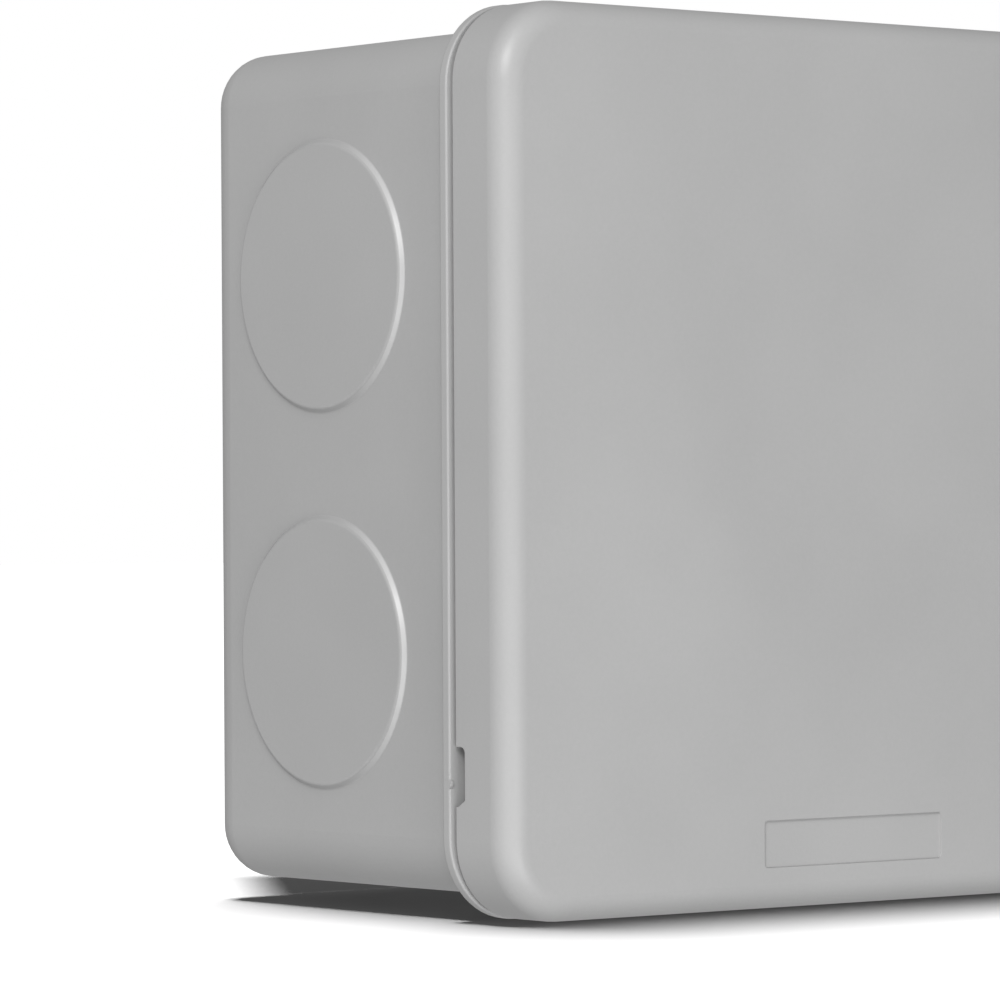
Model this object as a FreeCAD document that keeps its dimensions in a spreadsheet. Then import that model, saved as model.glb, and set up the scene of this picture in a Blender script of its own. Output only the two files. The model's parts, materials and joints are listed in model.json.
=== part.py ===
import FreeCAD, Part
import math
import os
import Sketcher

# Square surface-mounted junction box with a push-on lid, two knock-out blanks on each side and a row of
# terminals on a rail inside. Millimetres. +Z is up, the wall is the plane Y = 0 and the lid faces -Y.
# The origin is the centre of the back face. A depth is a distance from the wall towards the lid.

DIMENSIONS = [
    # case outline
    ("lid_size", 160.0),
    ("lid_corner", 14.0),
    ("box_size", 152.1),
    ("box_corner", 9.9),
    ("back_round", 7.6),
    ("wall", 3.0),
    ("inner_round", 4.6),
    ("flange_width", 161.4),
    ("flange_height", 160.2),
    ("flange_corner", 14.7),
    ("flange_back_depth", 77.2),
    ("flange_front_depth", 79.0),
    ("flange_edge_round", 0.35),
    # rim that stands inside the lid, and its snap ridges
    ("rim_size", 151.2),
    ("rim_corner", 9.5),
    ("rim_depth", 88.0),
    ("snap_spacing", 87.4),
    ("ridge_width", 12.0),
    ("ridge_height", 0.8),
    ("ridge_depth", 84.6),
    ("ridge_length", 1.5),
    # flattened nub on the front of the flange, in the middle of the lid's pry notch
    ("nub_radius", 0.95),
    ("nub_height", 0.4),
    ("nub_length", 0.6),
    ("nub_drop", 56.0),
    # lid
    ("lid_rear_depth", 79.95),
    ("total_depth", 94.0),
    ("lid_front_round", 4.5),
    ("skirt", 2.6),
    ("skirt_inner_corner", 11.4),
    ("lid_front", 2.8),
    ("lug_width", 12.0),
    ("lug_height", 0.7),
    ("lug_depth", 81.4),
    ("lug_length", 1.6),
    ("notch_top", 49.5),
    ("notch_bottom", 59.95),
    ("notch_depth", 2.45),
    ("notch_round", 1.15),
    ("notch_slant_drop", 1.2),
    ("notch_slant_depth", 1.95),
    ("label_width", 42.6),
    ("label_height", 8.4),
    ("label_drop", 68.3),
    ("label_recess", 0.4),
    ("label_corner", 0.6),
    # seal and the rib that holds it
    ("seal_outer", 153.6),
    ("seal_outer_corner", 10.8),
    ("seal_inner", 146.0),
    ("seal_inner_corner", 8.0),
    ("seal_rear_depth", 88.3),
    ("rib_outer", 145.2),
    ("rib_outer_corner", 7.6),
    ("rib_inner", 142.8),
    ("rib_inner_corner", 6.4),
    ("rib_length", 2.0),
    # knock-out blanks: a plug in the hole, and a wider head outside the wall
    ("blank_hole_radius", 23.95),
    ("blank_plug_radius", 23.85),
    ("blank_head_radius", 24.25),
    ("blank_thickness", 2.6),
    ("blank_head", 1.0),
    ("blank_raise", 1.05),
    ("blank_round", 0.7),
    ("blank_depth", 36.3),
    ("blank_offset", 33.9),
    # wall screws: four bosses with counterbored holes
    ("wall_hole_spacing", 120.0),
    ("wall_hole_radius", 2.6),
    ("wall_head_radius", 5.0),
    ("wall_head_seat", 4.5),
    ("wall_boss_radius", 7.0),
    ("wall_boss_depth", 7.0),
    # rail and its screws
    ("rail_length", 124.0),
    ("rail_width", 35.0),
    ("rail_channel", 25.0),
    ("rail_height", 7.5),
    ("rail_sheet", 1.0),
    ("rail_back_depth", 9.0),
    ("rail_hole_spacing", 108.0),
    ("rail_hole_radius", 2.3),
    ("rail_boss_radius", 5.0),
    ("rail_screw_radius", 2.0),
    ("rail_screw_length", 6.0),
    ("thread_gap", 0.1),
    ("rail_screw_head_radius", 4.0),
    ("rail_screw_head_height", 2.4),
    ("slot_width", 1.0),
    ("slot_deepness", 1.1),
    # terminals
    ("terminal_pitch", 10.0),
    ("terminal_width", 9.8),
    ("terminal_half_height", 22.0),
    ("terminal_shoulder_depth", 40.0),
    ("terminal_step_half", 17.5),
    ("terminal_step_depth", 45.0),
    ("terminal_ridge_half", 5.5),
    ("terminal_ridge_slope", 1.0),
    ("terminal_front_depth", 48.0),
    ("foot_gap", 0.15),
    ("claw", 1.6),
    ("claw_leg", 2.6),
    ("chamber_floor", 1.5),
    ("clamp_width", 6.6),
    ("clamp_half_length", 15.5),
    ("clamp_back_depth", 29.0),
    ("clamp_front_depth", 37.0),
    ("clamp_gap", 0.15),
    ("wire_radius", 1.9),
    ("funnel_radius", 2.9),
    ("funnel_length", 2.0),
    ("driver_radius", 2.4),
    ("clamp_screw_offset", 11.5),
    ("thread_radius", 1.6),
    ("clamp_screw_radius", 1.5),
    ("clamp_screw_length", 2.2),
    ("clamp_head_radius", 2.1),
    ("clamp_head_height", 1.8),
    ("clamp_head_back_depth", 37.3),
    ("clamp_slot_width", 0.7),
    ("end_plate_width", 1.4),
    # end stops
    ("stop_width", 8.0),
    ("stop_half_height", 20.0),
    ("stop_front_depth", 34.0),
    ("stop_slope", 4.0),
    ("stop_screw_radius", 2.0),
    ("stop_head_radius", 3.4),
    ("stop_head_height", 2.2),
    ("stop_screw_length", 14.0),
]

TERMINALS = ["l1", "l2", "l3", "n", "pe"]
SHEET = "sizes"
# longer than any part of the box, for cuts that go right through
FAR = 400.0
QUARTER_TURN = math.pi / 2


class Size:
    """A length that carries its value and the spreadsheet formula that gives it."""

    def __init__(self, number, formula):
        self.number = number
        self.formula = formula

    def __add__(self, other):
        other = as_size(other)
        return Size(self.number + other.number, f"({self.formula} + {other.formula})")

    def __sub__(self, other):
        other = as_size(other)
        return Size(self.number - other.number, f"({self.formula} - {other.formula})")

    def __mul__(self, factor):
        return Size(self.number * factor, f"({self.formula} * {factor})")

    def __truediv__(self, factor):
        return Size(self.number / factor, f"({self.formula} / {factor})")

    def __neg__(self):
        return Size(-self.number, f"(0 - {self.formula})")


class Sizes:
    """The spreadsheet's dimensions, each read by its name."""

    def __init__(self, pairs):
        self.numbers = dict(pairs)

    def __getattr__(self, name):
        return Size(self.numbers[name], f"{SHEET}.{name}")


def as_size(number):
    return number if isinstance(number, Size) else Size(float(number), f"{float(number)}")


S = Sizes(DIMENSIONS)


# ---- the document and its sketches


def make_sheet(doc):
    """Writes every driving dimension in a spreadsheet, one row each: a name, and a value with an alias."""
    sheet = doc.addObject("Spreadsheet::Sheet", SHEET)
    for row, (name, number) in enumerate(DIMENSIONS, start=1):
        sheet.set(f"A{row}", name)
        sheet.set(f"B{row}", str(number))
        sheet.setAlias(f"B{row}", name)
    doc.recompute()


def new_body(doc, label):
    body = doc.addObject("PartDesign::Body", label)
    body.Label = label
    body.AllowCompound = True
    return body


def origin_feature(body, role):
    return next(f for f in body.Origin.OriginFeatures if f.Role == role)


def new_sketch(body, plane, offset=0):
    """A sketch on one of the body's own origin planes, moved by offset along the plane's normal."""
    sketch = body.newObject("Sketcher::SketchObject", "Sketch")
    sketch.AttachmentSupport = [(origin_feature(body, plane), "")]
    sketch.MapMode = "FlatFace"
    sketch.setExpression("AttachmentOffset.Base.z", as_size(offset).formula)
    return sketch


def dimension(sketch, kind, *references):
    """Adds a driving constraint whose last reference is a Size, and binds it to the sheet."""
    *where, length = references
    index = sketch.addConstraint(Sketcher.Constraint(kind, *where, length.number))
    sketch.setExpression(f"Constraints[{index}]", length.formula)


def place_point(sketch, geometry, end, x, y):
    """Fixes one point of a sketch at (x, y) from the sketch's origin."""
    for kind, axis, along in (("DistanceX", -2, as_size(x)), ("DistanceY", -1, as_size(y))):
        if along.number == 0.0:
            sketch.addConstraint(Sketcher.Constraint("PointOnObject", geometry, end, axis))
        else:
            dimension(sketch, kind, -1, 1, geometry, end, along)


def vector(x, y):
    return FreeCAD.Vector(as_size(x).number, as_size(y).number, 0)


def draw_polygon(sketch, corners):
    """A closed outline of straight edges through the given corners."""
    first = sketch.GeometryCount
    count = len(corners)
    for n in range(count):
        start = vector(*corners[n])
        end = vector(*corners[(n + 1) % count])
        sketch.addGeometry(Part.LineSegment(start, end), False)
    for n in range(count):
        following = first + (n + 1) % count
        sketch.addConstraint(Sketcher.Constraint("Coincident", first + n, 2, following, 1))
        place_point(sketch, first + n, 1, *corners[n])


def draw_rectangle(sketch, left, right, low, high):
    draw_polygon(sketch, [(left, low), (right, low), (right, high), (left, high)])


def draw_circle(sketch, x, y, radius):
    circle = Part.Circle(vector(x, y), FreeCAD.Vector(0, 0, 1), radius.number)
    index = sketch.addGeometry(circle, False)
    dimension(sketch, "Radius", index, radius)
    place_point(sketch, index, 3, x, y)


def draw_rounded_rectangle(sketch, width, height, radius, x=0, y=0):
    """A rectangle about (x, y) with four equal round corners."""
    half_width = (width / 2).number
    half_height = (height / 2).number
    middle = vector(x, y)
    bend = radius.number
    first = sketch.GeometryCount
    turns = ((1, -1), (1, 1), (-1, 1), (-1, -1))
    for n, (right, up) in enumerate(turns):
        centre = middle + FreeCAD.Vector(right * (half_width - bend), up * (half_height - bend), 0)
        circle = Part.Circle(centre, FreeCAD.Vector(0, 0, 1), bend)
        start = (n - 1) * QUARTER_TURN
        sketch.addGeometry(Part.ArcOfCircle(circle, start, start + QUARTER_TURN), False)
        if n:
            sketch.addConstraint(Sketcher.Constraint("Equal", first, first + 2 * n))
        next_right, next_up = turns[(n + 1) % 4]
        next_centre = FreeCAD.Vector(next_right * (half_width - bend), next_up * (half_height - bend), 0)
        outward = FreeCAD.Vector(right + next_right, up + next_up, 0) * (bend / 2)
        sketch.addGeometry(Part.LineSegment(centre + outward, middle + next_centre + outward), False)
    for n in range(8):
        sketch.addConstraint(Sketcher.Constraint("Tangent", first + n, 2, first + (n + 1) % 8, 1))
    for n, kind in ((1, "Vertical"), (3, "Horizontal"), (5, "Vertical"), (7, "Horizontal")):
        sketch.addConstraint(Sketcher.Constraint(kind, first + n))
    dimension(sketch, "Radius", first, radius)
    dimension(sketch, "DistanceX", -1, 1, first + 1, 1, as_size(x) + width / 2)
    dimension(sketch, "DistanceX", -1, 1, first + 5, 1, as_size(x) - width / 2)
    dimension(sketch, "DistanceY", -1, 1, first + 3, 1, as_size(y) + height / 2)
    dimension(sketch, "DistanceY", -1, 1, first + 7, 1, as_size(y) - height / 2)


def pad(body, sketch, length, both_ways=False, reverse=False):
    feature = body.newObject("PartDesign::Pad", "Pad")
    feature.Profile = sketch
    feature.setExpression("Length", as_size(length).formula)
    feature.SideType = "Symmetric" if both_ways else "One side"
    feature.Reversed = reverse
    body.Tip = feature
    return feature


def pocket(body, sketch, depth, both_ways=False, reverse=False):
    """Cuts a sketch out of the body, and stops if the cut takes nothing away."""
    body.Document.recompute()
    before = body.Shape.Volume
    feature = body.newObject("PartDesign::Pocket", "Pocket")
    feature.Profile = sketch
    feature.setExpression("Length", as_size(depth).formula)
    feature.SideType = "Symmetric" if both_ways else "One side"
    feature.Reversed = reverse
    body.Tip = feature
    body.Document.recompute()
    if body.Shape.Volume > before - 0.1:
        raise RuntimeError(f"a pocket in {body.Label} cuts nothing")
    return feature


def repeat_around(body, features, axis, count):
    """Repeats features evenly around one of the body's origin axes."""
    pattern = body.newObject("PartDesign::PolarPattern", "PolarPattern")
    pattern.Originals = features
    pattern.Axis = (origin_feature(body, axis), [""])
    pattern.Angle = 360
    pattern.Occurrences = count
    body.Tip = pattern
    body.Document.recompute()


def fillet(body, radius, chosen):
    """Rounds the edges of the body for which chosen(edge) is true."""
    body.Document.recompute()
    base = body.Tip
    edges = [f"Edge{n}" for n, edge in enumerate(base.Shape.Edges, start=1) if chosen(edge)]
    feature = body.newObject("PartDesign::Fillet", "Fillet")
    feature.Base = (base, edges)
    feature.setExpression("Radius", radius.formula)
    body.Tip = feature
    body.Document.recompute()


def lies_in_depth(edge, depth, half_reach):
    """Whether an edge lies flat at a depth, and no further than half_reach from the middle."""
    box = edge.BoundBox
    flat = abs(box.YMin + depth.number) < 0.01 and abs(box.YMax + depth.number) < 0.01
    return flat and max(abs(box.XMin), box.XMax, abs(box.ZMin), box.ZMax) < half_reach.number + 0.01


def runs_across(edge, depth, height):
    """Whether an edge runs along X at a depth, and at a height above or below the middle."""
    box = edge.BoundBox
    low, high = sorted((abs(box.ZMin), abs(box.ZMax)))
    level = high - low < 0.01 and abs(high - height.number) < 0.01
    return level and abs(box.YMin + depth.number) < 0.01 and abs(box.YMax + depth.number) < 0.01


# ---- the case


def make_back_box(doc):
    """One moulding: case, flange, rim, bosses, and the holes for the blanks and the wall screws."""
    body = new_body(doc, "back_box")
    outline = new_sketch(body, "XZ_Plane")
    draw_rounded_rectangle(outline, S.box_size, S.box_size, S.box_corner)
    pad(body, outline, S.flange_front_depth)
    fillet(body, S.back_round, lambda edge: lies_in_depth(edge, as_size(0), S.box_size / 2))
    flange = new_sketch(body, "XZ_Plane", S.flange_back_depth)
    draw_rounded_rectangle(flange, S.flange_width, S.flange_height, S.flange_corner)
    pad(body, flange, S.flange_front_depth - S.flange_back_depth)
    flange_front = S.flange_front_depth
    fillet(body, S.flange_edge_round, lambda edge: lies_in_depth(edge, flange_front, S.flange_width / 2))
    rim = new_sketch(body, "XZ_Plane", S.flange_back_depth)
    draw_rounded_rectangle(rim, S.rim_size, S.rim_size, S.rim_corner)
    pad(body, rim, S.rim_depth - S.flange_back_depth)
    hollow = new_sketch(body, "XZ_Plane", S.wall)
    inside = S.box_size - S.wall * 2
    draw_rounded_rectangle(hollow, inside, inside, S.box_corner - S.wall)
    pocket(body, hollow, FAR, reverse=True)
    fillet(body, S.inner_round, lambda edge: lies_in_depth(edge, S.wall, inside / 2))
    add_bosses(body)
    cut_blank_holes(body)
    add_rim_details(body)
    return body


def add_bosses(body):
    """Four counterbored bosses for the wall screws, and two for the rail screws."""
    half = S.wall_hole_spacing / 2
    floor = S.wall / 2
    boss = new_sketch(body, "XZ_Plane", floor)
    draw_circle(boss, half, half, S.wall_boss_radius)
    boss_pad = pad(body, boss, S.wall_boss_depth - floor)
    seat = new_sketch(body, "XZ_Plane", S.wall_head_seat)
    draw_circle(seat, half, half, S.wall_head_radius)
    seat_pocket = pocket(body, seat, S.wall_boss_depth, reverse=True)
    hole = new_sketch(body, "XZ_Plane")
    draw_circle(hole, half, half, S.wall_hole_radius)
    hole_pocket = pocket(body, hole, S.wall_boss_depth, reverse=True)
    repeat_around(body, [boss_pad, seat_pocket, hole_pocket], "Y_Axis", 4)
    post = new_sketch(body, "XZ_Plane", floor)
    draw_circle(post, S.rail_hole_spacing / 2, 0, S.rail_boss_radius)
    post_pad = pad(body, post, S.rail_back_depth - floor)
    pilot = new_sketch(body, "XZ_Plane", S.wall)
    draw_circle(pilot, S.rail_hole_spacing / 2, 0, S.rail_screw_radius)
    pilot_pocket = pocket(body, pilot, S.rail_back_depth, reverse=True)
    repeat_around(body, [post_pad, pilot_pocket], "Y_Axis", 2)


def cut_blank_holes(body):
    """Two round holes in each side wall, cut right across the box in both directions."""
    radius = S.blank_hole_radius
    sideways = new_sketch(body, "YZ_Plane")
    upright = new_sketch(body, "XY_Plane")
    for side in (1, -1):
        draw_circle(sideways, -S.blank_depth, S.blank_offset * side, radius)
        draw_circle(upright, S.blank_offset * side, -S.blank_depth, radius)
    pocket(body, sideways, FAR, both_ways=True)
    pocket(body, upright, FAR, both_ways=True)


def add_rim_details(body):
    """Snap ridges outside the rim, and the nub in front of the flange with its twin on the right."""
    half_rim = S.rim_size / 2
    ridges = new_sketch(body, "XZ_Plane", S.ridge_depth)
    for side in (1, -1):
        middle = S.snap_spacing * (side / 2)
        low = middle - S.ridge_width / 2
        high = middle + S.ridge_width / 2
        draw_rectangle(ridges, half_rim - S.wall / 4, half_rim + S.ridge_height, low, high)
    repeat_around(body, [pad(body, ridges, S.ridge_length)], "Y_Axis", 4)
    nub = new_sketch(body, "YZ_Plane", -(S.flange_width / 2))
    draw_circle(nub, -S.flange_front_depth - S.nub_height + S.nub_radius, -S.nub_drop, S.nub_radius)
    repeat_around(body, [pad(body, nub, S.nub_length)], "Y_Axis", 2)


def make_lid(doc):
    """The deep cover: front panel and skirt, with a seal rib, snap lugs, pry notches and a label recess."""
    body = new_body(doc, "lid")
    outline = new_sketch(body, "XZ_Plane", S.lid_rear_depth)
    draw_rounded_rectangle(outline, S.lid_size, S.lid_size, S.lid_corner)
    pad(body, outline, S.total_depth - S.lid_rear_depth)
    fillet(body, S.lid_front_round, lambda edge: lies_in_depth(edge, S.total_depth, S.lid_size / 2))
    hollow = new_sketch(body, "XZ_Plane", S.lid_rear_depth)
    inside = S.lid_size - S.skirt * 2
    draw_rounded_rectangle(hollow, inside, inside, S.skirt_inner_corner)
    pocket(body, hollow, S.total_depth - S.lid_rear_depth - S.lid_front, reverse=True)
    label = new_sketch(body, "XZ_Plane", S.total_depth)
    draw_rounded_rectangle(label, S.label_width, S.label_height, S.label_corner, 0, -S.label_drop)
    pocket(body, label, S.label_recess)
    cut_pry_notches(body)
    add_snap_lugs(body)
    add_seal_rib(body)
    return body


def cut_pry_notches(body):
    """A notch in the skirt's rear edge low on the left, and its twin high on the right."""
    notch = new_sketch(body, "YZ_Plane", -(S.lid_size / 2) - S.skirt)
    rear = -S.lid_rear_depth + S.skirt
    front = -S.lid_rear_depth - S.notch_depth
    draw_polygon(
        notch,
        [
            (rear, -S.notch_top),
            (front, -S.notch_top),
            (front, -S.notch_bottom + S.notch_slant_drop),
            (front + S.notch_slant_depth, -S.notch_bottom),
            (rear, -S.notch_bottom),
        ],
    )
    cut = pocket(body, notch, S.skirt * 3, reverse=True)
    repeat_around(body, [cut], "Y_Axis", 2)
    fillet(body, S.notch_round, lambda edge: runs_across(edge, -front, S.notch_top))


def add_snap_lugs(body):
    """Two lugs inside each side of the skirt, behind the back box's ridges."""
    lugs = new_sketch(body, "XZ_Plane", S.lug_depth)
    wall_face = S.lid_size / 2 - S.skirt
    for side in (1, -1):
        middle = S.snap_spacing * (side / 2)
        low = middle - S.lug_width / 2
        high = middle + S.lug_width / 2
        draw_rectangle(lugs, wall_face - S.lug_height, wall_face + S.skirt / 2, low, high)
    repeat_around(body, [pad(body, lugs, S.lug_length)], "Y_Axis", 4)


def add_seal_rib(body):
    """The rib inside the front panel that keeps the seal against the skirt."""
    rib = new_sketch(body, "XZ_Plane", S.total_depth - S.lid_front - S.rib_length)
    draw_rounded_rectangle(rib, S.rib_outer, S.rib_outer, S.rib_outer_corner)
    draw_rounded_rectangle(rib, S.rib_inner, S.rib_inner, S.rib_inner_corner)
    pad(body, rib, S.rib_length + S.lid_front / 2)


def make_lid_seal(doc):
    """A flat rubber ring on the inside of the lid, just in front of the back box's rim."""
    body = new_body(doc, "lid_seal")
    ring = new_sketch(body, "XZ_Plane", S.seal_rear_depth)
    draw_rounded_rectangle(ring, S.seal_outer, S.seal_outer, S.seal_outer_corner)
    draw_rounded_rectangle(ring, S.seal_inner, S.seal_inner, S.seal_inner_corner)
    pad(body, ring, S.total_depth - S.lid_front - S.seal_rear_depth)
    return body


def make_knockout(doc, label, turn, along, side):
    """One round blank. Its own +Z points out of the case, turn lays that along the side's normal."""
    body = new_body(doc, label)
    plug = new_sketch(body, "XY_Plane")
    draw_circle(plug, 0, 0, S.blank_plug_radius)
    pad(body, plug, S.blank_thickness - S.blank_head)
    head = new_sketch(body, "XY_Plane", S.blank_thickness - S.blank_head)
    draw_circle(head, 0, 0, S.blank_head_radius)
    pad(body, head, S.blank_head)
    front = S.blank_thickness.number
    fillet(body, S.blank_round, lambda edge: abs(edge.BoundBox.ZMin - front) < 0.01)
    inner_face = S.box_size.number / 2 + S.blank_raise.number - front
    outward = turn.multVec(FreeCAD.Vector(0, 0, 1))
    centre = outward * inner_face + along * (side * S.blank_offset.number)
    centre.y = -S.blank_depth.number
    body.Placement = FreeCAD.Placement(centre, turn)
    return body


def make_knockouts(doc):
    """Two blanks on each of the four sides."""
    x_axis = FreeCAD.Vector(1, 0, 0)
    y_axis = FreeCAD.Vector(0, 1, 0)
    z_axis = FreeCAD.Vector(0, 0, 1)
    faces = [
        ("left", FreeCAD.Rotation(y_axis, -90), z_axis, ("lower", "upper")),
        ("right", FreeCAD.Rotation(y_axis, 90), z_axis, ("lower", "upper")),
        ("top", FreeCAD.Rotation(y_axis, 0), x_axis, ("left", "right")),
        ("bottom", FreeCAD.Rotation(y_axis, 180), x_axis, ("left", "right")),
    ]
    blanks = []
    for face, turn, along, ends in faces:
        for end, side in zip(ends, (-1, 1)):
            blanks.append(make_knockout(doc, f"knockout_{face}_{end}", turn, along, side))
    return blanks


# ---- the rail and the terminals on it


def make_din_rail(doc):
    """A top-hat rail, bent from sheet, with a screw hole near each end."""
    body = new_body(doc, "din_rail")
    section = new_sketch(body, "YZ_Plane")
    back = -S.rail_back_depth
    web_front = back - S.rail_sheet
    front = back - S.rail_height
    lip_back = front + S.rail_sheet
    inside = S.rail_channel / 2
    outside = inside + S.rail_sheet
    edge = S.rail_width / 2
    draw_polygon(
        section,
        [
            (back, -outside),
            (lip_back, -outside),
            (lip_back, -edge),
            (front, -edge),
            (front, -inside),
            (web_front, -inside),
            (web_front, inside),
            (front, inside),
            (front, edge),
            (lip_back, edge),
            (lip_back, outside),
            (back, outside),
        ],
    )
    pad(body, section, S.rail_length, both_ways=True)
    holes = new_sketch(body, "XZ_Plane")
    for side in (1, -1):
        draw_circle(holes, S.rail_hole_spacing * (side / 2), 0, S.rail_hole_radius)
    pocket(body, holes, S.rail_back_depth + S.rail_height, reverse=True)
    return body


def rail_foot(half_height):
    """The left half of a rail foot's outline, from the side wall round its claw to the middle: (Y, Z)."""
    rail_front = -S.rail_back_depth - S.rail_height - S.foot_gap
    lip_back = -S.rail_back_depth - S.rail_height + S.rail_sheet + S.foot_gap
    lip_edge = S.rail_width / 2 + S.foot_gap
    claw_end = lip_back + S.claw
    return [
        (rail_front - S.claw, half_height),
        (rail_front, lip_edge + S.claw_leg),
        (claw_end, lip_edge + S.claw_leg),
        (claw_end, lip_edge),
        (lip_back, lip_edge - S.claw),
        (lip_back, lip_edge),
        (rail_front, lip_edge),
    ]


def mirrored(corners):
    """Completes an outline given for Z above zero with its mirror image below, in reverse order."""
    below = [(y, -z) for y, z in reversed(corners)]
    return corners + below


def terminal_outline():
    """Half of a terminal's side view, from the top of its ridge back to its foot."""
    front = [
        (-S.terminal_front_depth, S.terminal_ridge_half),
        (-S.terminal_step_depth, S.terminal_ridge_half + S.terminal_ridge_slope),
        (-S.terminal_step_depth, S.terminal_step_half),
        (-S.terminal_shoulder_depth, S.terminal_half_height),
    ]
    return mirrored(front + rail_foot(S.terminal_half_height))


def make_terminal(doc, name, left):
    """A rail terminal's housing, open on its right side where the clamp body goes in."""
    body = new_body(doc, f"terminal_{name}")
    side = new_sketch(body, "YZ_Plane")
    draw_polygon(side, terminal_outline())
    pad(body, side, S.terminal_width)
    chamber = new_sketch(body, "YZ_Plane", S.chamber_floor)
    reach = S.clamp_half_length + S.clamp_gap
    deep = -S.clamp_front_depth - S.clamp_gap
    shallow = -S.clamp_back_depth + S.clamp_gap
    draw_rectangle(chamber, deep, shallow, -reach, reach)
    pocket(body, chamber, S.terminal_width, reverse=True)
    middle = S.chamber_floor + S.clamp_gap + S.clamp_width / 2
    wire_y = -(S.clamp_back_depth + S.clamp_front_depth) / 2
    wire = new_sketch(body, "XY_Plane")
    draw_circle(wire, middle, wire_y, S.wire_radius)
    pocket(body, wire, S.terminal_half_height * 3, both_ways=True)
    for way in (1, -1):
        end = S.terminal_half_height * way
        funnel = new_sketch(body, "XY_Plane", end)
        draw_circle(funnel, middle, wire_y, S.funnel_radius)
        pocket(body, funnel, S.funnel_length, reverse=way < 0)
    access = new_sketch(body, "XZ_Plane", S.clamp_front_depth)
    for way in (1, -1):
        draw_circle(access, middle, S.clamp_screw_offset * way, S.driver_radius)
    pocket(body, access, S.terminal_front_depth, reverse=True)
    body.Placement.Base.x = left
    return body


def make_clamp(doc, name, left):
    """A brass block with a wire hole right along it and two threaded holes for the clamp screws."""
    body = new_body(doc, f"clamp_{name}")
    block = new_sketch(body, "YZ_Plane")
    reach = S.clamp_half_length
    draw_rectangle(block, -S.clamp_front_depth, -S.clamp_back_depth, -reach, reach)
    pad(body, block, S.clamp_width)
    wire = new_sketch(body, "XY_Plane")
    wire_y = -(S.clamp_back_depth + S.clamp_front_depth) / 2
    draw_circle(wire, S.clamp_width / 2, wire_y, S.wire_radius)
    pocket(body, wire, reach * 3, both_ways=True)
    threads = new_sketch(body, "XZ_Plane", (S.clamp_back_depth + S.clamp_front_depth) / 2)
    for way in (1, -1):
        draw_circle(threads, S.clamp_width / 2, S.clamp_screw_offset * way, S.thread_radius)
    pocket(body, threads, S.clamp_front_depth, reverse=True)
    body.Placement.Base.x = left + S.chamber_floor.number + S.clamp_gap.number
    return body


def make_end_plate(doc, left):
    """The thin plate that closes the last terminal, cut to the terminals' own outline."""
    body = new_body(doc, "end_plate")
    side = new_sketch(body, "YZ_Plane")
    draw_polygon(side, terminal_outline())
    pad(body, side, S.end_plate_width)
    body.Placement.Base.x = left
    return body


def make_end_stop(doc, label, left):
    """A plain block that grips the rail beside the terminals."""
    body = new_body(doc, label)
    side = new_sketch(body, "YZ_Plane")
    front = [
        (-S.stop_front_depth, S.stop_half_height - S.stop_slope),
        (-S.stop_front_depth + S.stop_slope, S.stop_half_height),
    ]
    draw_polygon(side, mirrored(front + rail_foot(S.stop_half_height)))
    pad(body, side, S.stop_width)
    hole = new_sketch(body, "XZ_Plane", S.rail_back_depth)
    draw_circle(hole, S.stop_width / 2, 0, S.stop_screw_radius + S.clamp_gap)
    pocket(body, hole, FAR, reverse=True)
    body.Placement.Base.x = left
    return body


# ---- screws


def make_rod(doc, name, radius, length, turn):
    """A cylinder from the origin along the direction that turn gives to +Z."""
    rod = doc.addObject("Part::Cylinder", name)
    rod.setExpression("Radius", radius.formula)
    rod.setExpression("Height", length.formula)
    rod.Placement.Rotation = turn
    return rod


def make_screw(doc, name, head, shank, slot, place):
    """A slotted screw along Y with its head's underside at place.

    head and shank are (radius, length), and slot is (width, depth).
    """
    to_front = FreeCAD.Rotation(FreeCAD.Vector(1, 0, 0), 90)
    head_radius, head_height = head
    slot_width, slot_depth = slot
    whole = doc.addObject("Part::Fuse", f"{name}_whole")
    whole.Base = make_rod(doc, f"{name}_head", head_radius, head_height, to_front)
    whole.Tool = make_rod(doc, f"{name}_shank", *shank, to_front.inverted())
    groove = doc.addObject("Part::Box", f"{name}_slot")
    groove.setExpression("Length", (head_radius * 3).formula)
    groove.setExpression("Width", (slot_depth * 2).formula)
    groove.setExpression("Height", slot_width.formula)
    groove.setExpression("Placement.Base.x", (-head_radius * 1.5).formula)
    groove.setExpression("Placement.Base.y", (-head_height - slot_depth).formula)
    groove.setExpression("Placement.Base.z", (-slot_width / 2).formula)
    screw = doc.addObject("Part::Cut", name)
    screw.Base = whole
    screw.Tool = groove
    screw.Placement.Base = place
    return screw


def make_screw_group(doc, label, screws):
    group = doc.addObject("Part::Compound", label)
    group.Label = label
    group.Links = screws
    return group


def make_rail_screws(doc):
    """Two screws that hold the rail on the back box's posts."""
    head = (S.rail_screw_head_radius, S.rail_screw_head_height)
    shank = (S.rail_screw_radius - S.thread_gap, S.rail_screw_length)
    slot = (S.slot_width, S.slot_deepness)
    depth = S.rail_back_depth.number + S.rail_sheet.number
    screws = []
    for side in (1, -1):
        place = FreeCAD.Vector(side * S.rail_hole_spacing.number / 2, -depth, 0)
        screws.append(make_screw(doc, f"rail_screw_{len(screws)}", head, shank, slot, place))
    return make_screw_group(doc, "rail_screws", screws)


def make_clamp_screws(doc, lefts):
    """Two screws in each clamp body."""
    head = (S.clamp_head_radius, S.clamp_head_height)
    shank = (S.clamp_screw_radius, S.clamp_screw_length)
    slot = (S.clamp_slot_width, S.slot_deepness)
    middle = S.chamber_floor.number + S.clamp_gap.number + S.clamp_width.number / 2
    screws = []
    for left in lefts:
        for way in (1, -1):
            up = way * S.clamp_screw_offset.number
            place = FreeCAD.Vector(left + middle, -S.clamp_head_back_depth.number, up)
            screws.append(make_screw(doc, f"clamp_screw_{len(screws)}", head, shank, slot, place))
    return make_screw_group(doc, "clamp_screws", screws)


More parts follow.
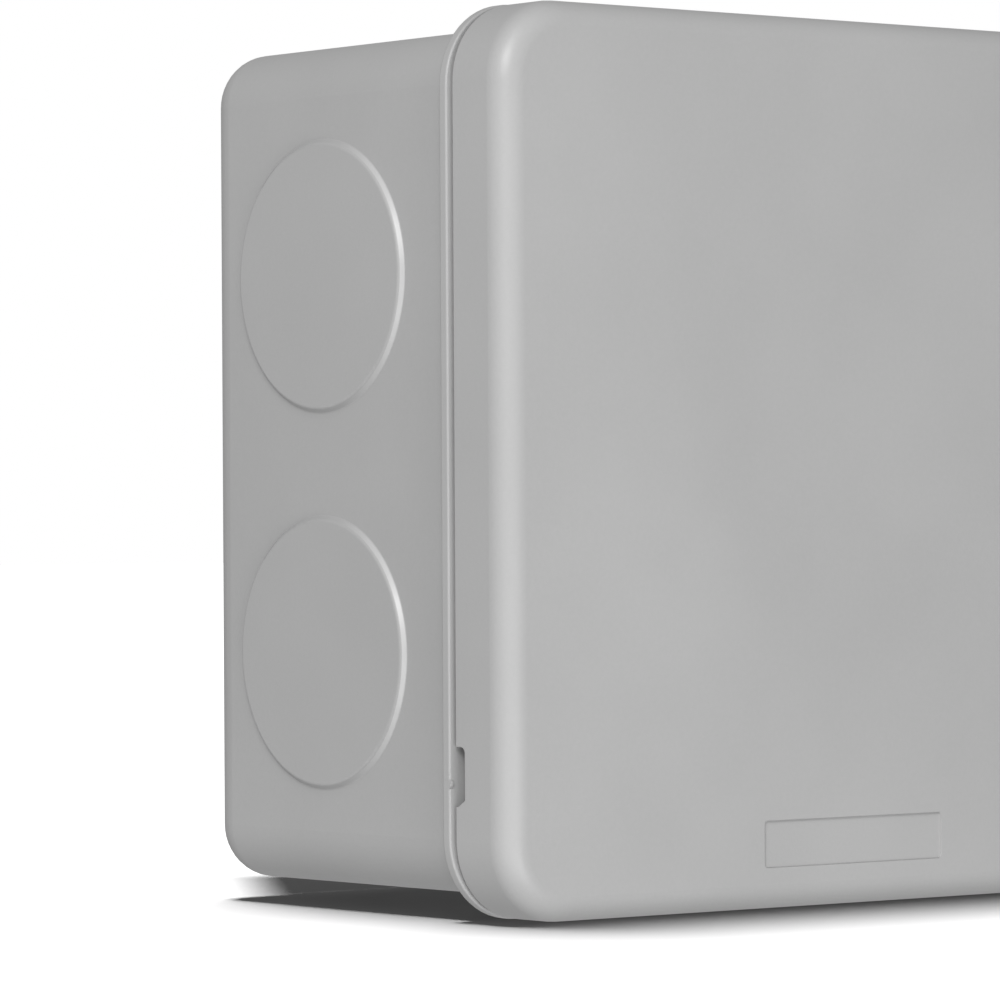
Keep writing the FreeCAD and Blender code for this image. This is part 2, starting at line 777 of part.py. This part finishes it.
def make_end_stop_screws(doc, lefts):
    """One locking screw in each end stop."""
    head = (S.stop_head_radius, S.stop_head_height)
    shank = (S.stop_screw_radius, S.stop_screw_length)
    slot = (S.slot_width, S.slot_deepness)
    screws = []
    for left in lefts:
        place = FreeCAD.Vector(left + S.stop_width.number / 2, -S.stop_front_depth.number, 0)
        screws.append(make_screw(doc, f"stop_screw_{len(screws)}", head, shank, slot, place))
    return make_screw_group(doc, "end_stop_screws", screws)


def make_rail_row(doc):
    """The terminals side by side about the middle of the rail, with an end plate and two end stops."""
    pitch = S.terminal_pitch.number
    first = -pitch * len(TERMINALS) / 2
    lefts = [first + n * pitch for n in range(len(TERMINALS))]
    made = []
    for name, left in zip(TERMINALS, lefts):
        made.append(make_terminal(doc, name, left))
        made.append(make_clamp(doc, name, left))
    plate_left = lefts[-1] + pitch
    made.append(make_end_plate(doc, plate_left))
    gap = pitch - S.terminal_width.number
    stop_lefts = [first - S.stop_width.number - gap, plate_left + S.end_plate_width.number + gap]
    for side, left in zip(("left", "right"), stop_lefts):
        made.append(make_end_stop(doc, f"end_stop_{side}", left))
    made.append(make_clamp_screws(doc, lefts))
    made.append(make_end_stop_screws(doc, stop_lefts))
    return made


# ---- the whole box


def check_objects(doc, parts):
    """Stops if any object failed to recompute, or a sub-part's shape is empty or invalid."""
    for thing in doc.Objects:
        if "Invalid" in thing.State or "Error" in thing.State:
            raise RuntimeError(f"{thing.Name} ({thing.Label}) failed: {thing.State}")
    for part in parts:
        if part.Shape.isNull() or not part.Shape.isValid():
            raise RuntimeError(f"{part.Label} has no valid shape")


def main():
    doc = FreeCAD.newDocument("junction_box")
    make_sheet(doc)
    parts = [make_back_box(doc), make_lid(doc), make_lid_seal(doc)]
    parts += make_knockouts(doc)
    parts += [make_din_rail(doc), make_rail_screws(doc)]
    parts += make_rail_row(doc)
    doc.recompute()
    check_objects(doc, parts)
    os.makedirs("parts", exist_ok=True)
    for part in parts:
        part.Shape.exportStep(f"parts/{part.Label}.step")
        print(part.Label, len(part.Shape.Solids), round(part.Shape.Volume, 1))


main()
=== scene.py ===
import json
import math

import bpy
from mathutils import Matrix, Vector


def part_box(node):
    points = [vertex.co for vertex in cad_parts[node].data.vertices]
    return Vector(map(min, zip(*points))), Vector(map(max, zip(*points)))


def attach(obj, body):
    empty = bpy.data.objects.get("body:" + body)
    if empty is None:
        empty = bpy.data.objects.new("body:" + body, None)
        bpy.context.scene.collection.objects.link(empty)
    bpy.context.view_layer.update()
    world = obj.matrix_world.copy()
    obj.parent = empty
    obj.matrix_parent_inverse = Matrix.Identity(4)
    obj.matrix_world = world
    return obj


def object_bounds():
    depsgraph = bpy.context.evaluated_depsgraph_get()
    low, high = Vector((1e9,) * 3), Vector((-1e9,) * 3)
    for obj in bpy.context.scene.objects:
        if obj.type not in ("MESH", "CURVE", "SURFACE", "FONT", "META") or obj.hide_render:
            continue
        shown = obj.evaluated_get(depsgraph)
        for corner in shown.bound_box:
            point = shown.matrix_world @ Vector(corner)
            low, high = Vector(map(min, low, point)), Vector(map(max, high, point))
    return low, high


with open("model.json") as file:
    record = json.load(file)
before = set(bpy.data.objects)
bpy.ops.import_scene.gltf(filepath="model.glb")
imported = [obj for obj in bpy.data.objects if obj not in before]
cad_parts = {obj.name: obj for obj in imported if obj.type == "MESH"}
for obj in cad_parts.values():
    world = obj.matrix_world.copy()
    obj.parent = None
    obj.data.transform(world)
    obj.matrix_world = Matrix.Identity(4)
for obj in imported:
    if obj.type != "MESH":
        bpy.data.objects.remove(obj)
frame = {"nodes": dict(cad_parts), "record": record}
cad_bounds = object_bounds()
nodes = frame["nodes"]

MM = 0.001

CASE_GREY = (0.42, 0.42, 0.42)

# The case's walls and the heads of the round blanks, as in the CAD.
WALL_HALF = 76.05 * MM
BLANK_RADIUS = 24.25 * MM
BLANK_HEIGHT = 1.05 * MM
BLANK_ROUNDING = 0.7 * MM


# ---- camera, floor and light


def view_axes(azimuth, elevation, roll):
    """The camera's right, up and backward directions. Azimuth 0 looks along +Y."""
    azimuth = math.radians(azimuth)
    elevation = math.radians(elevation)
    roll = math.radians(roll)
    flat = math.cos(elevation)
    back = Vector((math.sin(azimuth) * flat, -math.cos(azimuth) * flat, math.sin(elevation)))
    level = (-back).cross(Vector((0, 0, 1))).normalized()
    upright = level.cross(-back)
    right = math.cos(roll) * level + math.sin(roll) * upright
    up = math.cos(roll) * upright - math.sin(roll) * level
    return right, up, back


def add_camera():
    right, up, back = view_axes(azimuth=-38.33, elevation=-0.16, roll=-0.32)
    aim = Vector((-46.2, -49.9, -6.6)) * MM
    distance = 0.9918
    data = bpy.data.cameras.new("camera")
    data.sensor_width = 36.0
    data.lens = 196.6
    data.clip_start = 0.05
    data.clip_end = 50.0
    camera = bpy.data.objects.new("camera", data)
    turn = Matrix((right, up, back)).transposed().to_4x4()
    camera.matrix_world = Matrix.Translation(aim + back * distance) @ turn
    bpy.context.scene.collection.objects.link(camera)
    bpy.context.scene.camera = camera


def place_light(name, data, azimuth, elevation, distance):
    """Points a light at the middle of the case from a direction given as for a view."""
    right, up, back = view_axes(azimuth, elevation, 0)
    light = bpy.data.objects.new(name, data)
    centre = (cad_bounds[0] + cad_bounds[1]) / 2
    turn = Matrix((right, up, back)).transposed().to_4x4()
    light.matrix_world = Matrix.Translation(centre + back * distance) @ turn
    light.visible_camera = False
    bpy.context.scene.collection.objects.link(light)
    return light


def add_soft_box(name, width, height, strength, azimuth, elevation, distance):
    data = bpy.data.lights.new(name, "AREA")
    data.shape = "RECTANGLE"
    data.size = width
    data.size_y = height
    data.energy = strength
    return place_light(name, data, azimuth, elevation, distance)


def light_only(light, floor, floor_lit):
    """Makes a light fall on the floor alone, or on everything but the floor."""
    group = bpy.data.collections.new(light.name + "_receivers")
    group.objects.link(floor)
    state = "INCLUDE" if floor_lit else "EXCLUDE"
    group.collection_objects[0].light_linking.link_state = state
    light.light_linking.receiver_collection = group


def add_room(seen_strength, light_strength):
    """White surroundings with one strength for the camera and another for lighting the object."""
    world = bpy.data.worlds.new("studio")
    bpy.context.scene.world = world
    world.use_nodes = True
    tree = world.node_tree
    seen = tree.nodes.new("ShaderNodeLightPath").outputs["Is Camera Ray"]
    strength = tree.nodes.new("ShaderNodeMapRange")
    strength.inputs["To Min"].default_value = light_strength
    strength.inputs["To Max"].default_value = seen_strength
    tree.links.new(seen, strength.inputs["Value"])
    background = tree.nodes["Background"]
    background.inputs["Color"].default_value = (1.0, 1.0, 1.0, 1.0)
    tree.links.new(strength.outputs["Result"], background.inputs["Strength"])


def light_scene(floor):
    """A white room, soft boxes for the object alone, and a high soft light behind it, for the floor
    alone, that whitens the floor and throws the shadow forwards."""
    bpy.context.scene.view_settings.view_transform = "Standard"
    add_room(seen_strength=1.0, light_strength=0.40)
    boxes = [
        add_soft_box("key", 0.7, 0.5, 11.8, azimuth=-50, elevation=28, distance=1.5),
        add_soft_box("front_fill", 0.7, 0.5, 3.3, azimuth=-12, elevation=-20, distance=1.5),
        add_soft_box("low_fill", 0.7, 0.3, 1.0, azimuth=-35, elevation=-22, distance=0.55),
        add_soft_box("corner_spot", 0.12, 0.12, 0.8, azimuth=-44, elevation=50, distance=1.2),
    ]
    for light in boxes:
        light_only(light, floor, False)
    data = bpy.data.lights.new("overhead", "SUN")
    data.energy = 22.3
    data.angle = math.radians(20)
    overhead = place_light("overhead", data, azimuth=165, elevation=80, distance=2.0)
    light_only(overhead, floor, True)


def add_sheet(name, corners, height):
    """A flat level sheet that belongs to the stage."""
    mesh = bpy.data.meshes.new(name)
    mesh.from_pydata([(x, y, 0) for x, y in corners], [], [tuple(range(len(corners)))])
    sheet = bpy.data.objects.new(name, mesh)
    sheet.location = (0, 0, height)
    bpy.context.scene.collection.objects.link(sheet)
    return sheet


def add_floor():
    """The floor shows the shadow and nothing else: it throws back no light and stops none."""
    half = 6.0
    corners = [(-half, -half), (half, -half), (half, half), (-half, half)]
    floor = add_sheet("floor", corners, cad_bounds[0].z)
    floor.data.materials.append(pale_floor())
    floor.visible_diffuse = False
    floor.visible_glossy = False
    floor.visible_shadow = False
    return floor


def add_flag():
    """A card that isn't seen: it keeps the overhead light off the floor just behind the case."""
    corners = [(-0.066, 0.001), (0.066, 0.001), (0.066, 0.050), (-0.034, 0.050)]
    height_above_floor = 36 * MM
    flag = add_sheet("flag", corners, cad_bounds[0].z + height_above_floor)
    flag.visible_camera = False
    flag.visible_diffuse = False
    flag.visible_glossy = False
    flag.visible_transmission = False


# ---- material helpers


class Shader:
    """A material's node tree, with short calls that add a node and join it up."""

    # The colour sockets of a Mix node, which has more sockets under the same names for other types.
    MIX_FIRST, MIX_SECOND, MIX_RESULT = 6, 7, 2

    def __init__(self, name):
        self.material = bpy.data.materials.new(name)
        self.material.use_nodes = True
        self.tree = self.material.node_tree
        self.surface = self.tree.nodes["Principled BSDF"]
        self.place = self.add("ShaderNodeTexCoord").outputs["Object"]

    def add(self, kind, inputs=None, **settings):
        node = self.tree.nodes.new(kind)
        for key, value in settings.items():
            setattr(node, key, value)
        for key, value in (inputs or {}).items():
            self.join(value, node.inputs[key])
        return node

    def join(self, value, socket):
        """Links an output to the socket, or sets the socket to a constant."""
        if isinstance(value, bpy.types.NodeSocket):
            self.tree.links.new(value, socket)
        else:
            socket.default_value = value

    def noise(self, scale, detail=2.0, roughness=0.5, place=None):
        inputs = {
            "Vector": place or self.place,
            "Scale": scale,
            "Detail": detail,
            "Roughness": roughness,
        }
        return self.add("ShaderNodeTexNoise", inputs).outputs["Fac"]

    def remap(self, value, low, high, out_low, out_high):
        inputs = {
            "Value": value,
            "From Min": low,
            "From Max": high,
            "To Min": out_low,
            "To Max": out_high,
        }
        return self.add("ShaderNodeMapRange", inputs).outputs["Result"]

    def spread(self, noise, out_low, out_high):
        """Stretches the band where nearly all noise lies over the given range."""
        return self.remap(noise, 0.3, 0.7, out_low, out_high)

    def math(self, operation, first, second=0.0):
        return self.add("ShaderNodeMath", {0: first, 1: second}, operation=operation).outputs[0]

    def mix(self, factor, first, second):
        node = self.add("ShaderNodeMix", data_type="RGBA")
        self.join(factor, node.inputs["Factor"])
        self.join(first, node.inputs[self.MIX_FIRST])
        self.join(second, node.inputs[self.MIX_SECOND])
        return node.outputs[self.MIX_RESULT]

    def stretched(self, x, y, z):
        """The place on the object with each axis scaled, for grain that runs in one direction."""
        inputs = {"Vector": self.place, "Scale": (x, y, z)}
        return self.add("ShaderNodeMapping", inputs, vector_type="POINT").outputs["Vector"]

    def bump(self, height, distance, normal=None):
        inputs = {"Height": height, "Distance": distance, "Strength": 1.0}
        if normal:
            inputs["Normal"] = normal
        return self.add("ShaderNodeBump", inputs).outputs["Normal"]

    def facing(self):
        return self.add("ShaderNodeNewGeometry").outputs["Normal"]

    def rounded(self, radius):
        """The normal as it would be if every edge were rounded to the radius."""
        return self.add("ShaderNodeBevel", {"Radius": radius}, samples=4).outputs["Normal"]

    def edges(self, radius, sharpness):
        """1 on sharp edges and 0 on flat faces, from how far the rounded normal leans."""
        inputs = {0: self.rounded(radius), 1: self.facing()}
        node = self.add("ShaderNodeVectorMath", inputs, operation="DOT_PRODUCT")
        return self.remap(node.outputs["Value"], 1.0, 1.0 - sharpness, 0.0, 1.0)

    def set(self, **inputs):
        """Sets or links the surface's inputs, with _ for each space in a name."""
        for key, value in inputs.items():
            self.join(value, self.surface.inputs[key.replace("_", " ")])
        return self.material


def shade(color, factor):
    return tuple(min(1.0, channel * factor) for channel in color) + (1.0,)


# ---- materials


def pale_floor():
    shader = Shader("pale_floor")
    grain = shader.noise(3.0, detail=1.0)
    color = shader.mix(grain, (0.138, 0.138, 0.138, 1.0), (0.142, 0.142, 0.142, 1.0))
    return shader.set(Base_Color=color, Roughness=0.9)


def moulded_plastic(name, color, roughness, sinks=0.0):
    """Satin moulded thermoplastic: faint clouding, a fine spark-eroded grain, paler edges that are
    partly wear and partly a painted highlight and, where sinks is above zero, the shallow hollows
    that a thick panel gets as it cools. Sinks is their depth in millimetres."""
    shader = Shader(name)
    clouds = shader.noise(22.0, detail=3.0)
    specks = shader.noise(1400.0, detail=2.0)
    clouds_share = 0.75
    tone = shader.math(
        "ADD",
        shader.spread(clouds, 0.0, clouds_share),
        shader.spread(specks, 0.0, 1.0 - clouds_share),
    )
    base = shader.mix(tone, shade(color, 0.955), shade(color, 1.04))
    patches = shader.remap(shader.noise(160.0), 0.35, 0.65, 0.2, 0.6)
    # Paler edges: partly wear, partly a painted highlight along the ridges.
    wear_and_highlight = shader.math("MULTIPLY", shader.edges(0.5 * MM, 0.35), patches)
    base = shader.mix(wear_and_highlight, base, shade(color, 1.16))
    gloss = shader.spread(shader.noise(55.0, detail=4.0), roughness - 0.05, roughness + 0.05)
    grain = shader.bump(shader.noise(1900.0, detail=2.0), 0.018 * MM, shader.rounded(0.25 * MM))
    if sinks:
        grain = shader.bump(shader.noise(70.0, detail=1.0), sinks * MM, grain)
    return shader.set(Base_Color=base, Roughness=gloss, Normal=grain)


def edge_highlight_plastic(color):
    """A blank's edge in the case's plastic, with a painted highlight on the side towards the lid.
    """
    shader = Shader("blank_edge_highlight_plastic")
    across = shader.add("ShaderNodeSeparateXYZ", {0: shader.facing()}).outputs["Y"]
    forwards = shader.math("MULTIPLY", across, -1.0)
    patches = shader.spread(shader.noise(260.0), 0.85, 1.0)
    # Painted highlight: the edge is paler where it faces the front, towards the lid.
    painted_highlight = shader.math("MULTIPLY", shader.remap(forwards, 0.2, 0.75, 0.0, 1.0), patches)
    base = shader.mix(painted_highlight, shade(color, 1.0), shade(color, 1.36))
    gloss = shader.spread(shader.noise(120.0), 0.32, 0.4)
    grain = shader.bump(shader.noise(1900.0), 0.008 * MM)
    return shader.set(Base_Color=base, Roughness=gloss, Normal=grain)


def plated_steel(name):
    """Zinc-plated sheet steel: fine drawing lines along X, a mottled bloom and bright edges."""
    shader = Shader(name)
    lines = shader.noise(1.0, detail=4.0, place=shader.stretched(60.0, 3500.0, 3500.0))
    bloom = shader.noise(90.0, detail=5.0, roughness=0.65)
    mottle = shader.remap(bloom, 0.35, 0.65, 0.0, 1.0)
    base = shader.mix(mottle, (0.52, 0.53, 0.54, 1), (0.72, 0.73, 0.72, 1))
    base = shader.mix(shader.edges(0.3 * MM, 0.4), base, (0.85, 0.86, 0.85, 1))
    gloss = shader.remap(shader.math("ADD", lines, bloom), 0.6, 1.4, 0.26, 0.46)
    grain = shader.bump(lines, 0.006 * MM)
    return shader.set(Base_Color=base, Roughness=gloss, Metallic=1.0, Normal=grain)


def plain_brass():
    shader = Shader("clamp_brass")
    bloom = shader.noise(220.0, detail=4.0)
    dulled = shader.remap(bloom, 0.35, 0.7, 0.0, 1.0)
    base = shader.mix(dulled, (0.74, 0.52, 0.22, 1), (0.55, 0.36, 0.15, 1))
    gloss = shader.spread(bloom, 0.25, 0.45)
    return shader.set(Base_Color=base, Roughness=gloss, Metallic=1.0)


def seal_rubber():
    shader = Shader("seal_rubber")
    cells = shader.noise(2600.0, detail=3.0)
    base = shader.mix(cells, (0.018, 0.018, 0.019, 1), (0.05, 0.05, 0.052, 1))
    bloom = shader.spread(shader.noise(300.0), 0.7, 0.9)
    return shader.set(Base_Color=base, Roughness=bloom, Normal=shader.bump(cells, 0.03 * MM))


def earth_polyamide():
    """Green polyamide with a yellow band across the middle."""
    shader = Shader("terminal_earth")
    height = shader.add("ShaderNodeSeparateXYZ", {0: shader.place}).outputs["Z"]
    band = shader.remap(shader.math("ABSOLUTE", height), 6.2 * MM, 6.4 * MM, 1.0, 0.0)
    specks = shader.noise(1100.0, detail=3.0)
    green = shader.mix(specks, (0.03, 0.2, 0.05, 1), (0.05, 0.27, 0.07, 1))
    yellow = shader.mix(specks, (0.75, 0.55, 0.03, 1), (0.85, 0.66, 0.06, 1))
    base = shader.mix(band, green, yellow)
    gloss = shader.spread(shader.noise(120.0), 0.45, 0.55)
    grain = shader.bump(shader.noise(1900.0), 0.015 * MM)
    return shader.set(Base_Color=base, Roughness=gloss, Normal=grain)


def paint_nodes():
    """Gives every CAD node its material, by the record's material slots."""
    looks = {
        "case": moulded_plastic("case_plastic", CASE_GREY, 0.40),
        "lid": moulded_plastic("lid_plastic", CASE_GREY, 0.40, sinks=0.015),
        "blank": moulded_plastic("blank_plastic", CASE_GREY, 0.40),
        "seal": seal_rubber(),
        "rail": plated_steel("rail_zinc"),
        "screw": plated_steel("screw_zinc"),
        "terminal": moulded_plastic("terminal_polyamide", (0.30, 0.31, 0.30), 0.5),
        "terminal_neutral": moulded_plastic("terminal_blue", (0.03, 0.12, 0.42), 0.5),
        "terminal_earth": earth_polyamide(),
        "clamp": plain_brass(),
        "end_stop": moulded_plastic("end_stop_polyamide", (0.22, 0.23, 0.22), 0.5),
    }
    for entry in frame["record"]["subparts"]:
        mesh = nodes[entry["node"]].data
        mesh.materials.clear()
        mesh.materials.append(looks[entry["material_slot"]])


# ---- pieces added to the CAD


def lathe(name, profile, steps):
    """A closed ring: the profile, in radius and height, turned about Z."""
    verts = []
    for step in range(steps):
        turn = 2 * math.pi * step / steps
        verts += [(r * math.cos(turn), r * math.sin(turn), height) for r, height in profile]
    count = len(profile)
    faces = []
    for step in range(steps):
        here = step * count
        there = (step + 1) % steps * count
        for n in range(count):
            following = (n + 1) % count
            faces.append((here + n, there + n, there + following, here + following))
    mesh = bpy.data.meshes.new(name)
    mesh.from_pydata(verts, [], faces)
    for face in mesh.polygons:
        face.use_smooth = True
    mesh.set_sharp_from_angle(angle=math.radians(40))
    return mesh


def skirt_profile():
    """The section of the sloping edge round a blank, in radius and height above the wall. It leaves
    the rounded rim of the head at a tangent and runs down to a hollow foot on the wall. The inner
    corners are hidden in the head."""
    lean = math.radians(56)
    tuck_angle = 0.16
    tuck_depth = 0.012 * MM
    stands_proud = 0.003 * MM
    bend_height = 0.26 * MM
    foot_height = 0.01 * MM
    foot_length = 0.22 * MM
    centre = (BLANK_RADIUS - BLANK_ROUNDING, BLANK_HEIGHT - BLANK_ROUNDING)

    def on_rim(angle, reach):
        return centre[0] + reach * math.sin(angle), centre[1] + reach * math.cos(angle)

    start = on_rim(lean, BLANK_ROUNDING + stands_proud)
    drop = start[1] - bend_height
    bend = (start[0] + drop / math.tan(lean), start[1] - drop)
    knee = (bend[0] + (bend[1] - foot_height) / math.tan(lean), foot_height)
    toe = (knee[0] + foot_length, foot_height)
    curve = [on_rim(lean - tuck_angle, BLANK_ROUNDING - tuck_depth), start]
    steps = 6
    for step in range(steps + 1):
        t = step / steps
        curve.append(tuple(
            (1 - t) ** 2 * bend[n] + 2 * t * (1 - t) * knee[n] + t * t * toe[n] for n in range(2)
        ))
    inner = BLANK_RADIUS - 0.06 * MM
    hidden = [
        (inner, foot_height),
        (inner, centre[1] - 0.05 * MM),
        on_rim(lean - tuck_angle, BLANK_ROUNDING - 0.2 * MM),
    ]
    return curve + hidden


def add_blank_skirts(material):
    """The sloping moulded edge that runs from each blank's face down to the wall of the case."""
    profile = skirt_profile()
    for name in nodes:
        if not name.startswith("knockout_"):
            continue
        low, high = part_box(name)
        middle = (low + high) / 2
        axis = 0 if abs(middle.x) > abs(middle.z) else 2
        outward = Vector((0, 0, 0))
        outward[axis] = math.copysign(1.0, middle[axis])
        middle[axis] = math.copysign(WALL_HALF, middle[axis])
        turn = outward.to_track_quat("Z", "Y").to_matrix().to_4x4()
        side = name.removeprefix("knockout_")
        mesh = lathe("blank_skirt_" + side, profile, steps=192)
        skirt = bpy.data.objects.new("blank_skirt_" + side, mesh)
        skirt.matrix_world = Matrix.Translation(middle) @ turn
        bpy.context.scene.collection.objects.link(skirt)
        skirt.data.materials.append(material)
        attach(skirt, "blank_" + side)


# ---- the scene

add_camera()
light_scene(add_floor())
add_flag()
paint_nodes()
add_blank_skirts(edge_highlight_plastic(CASE_GREY))
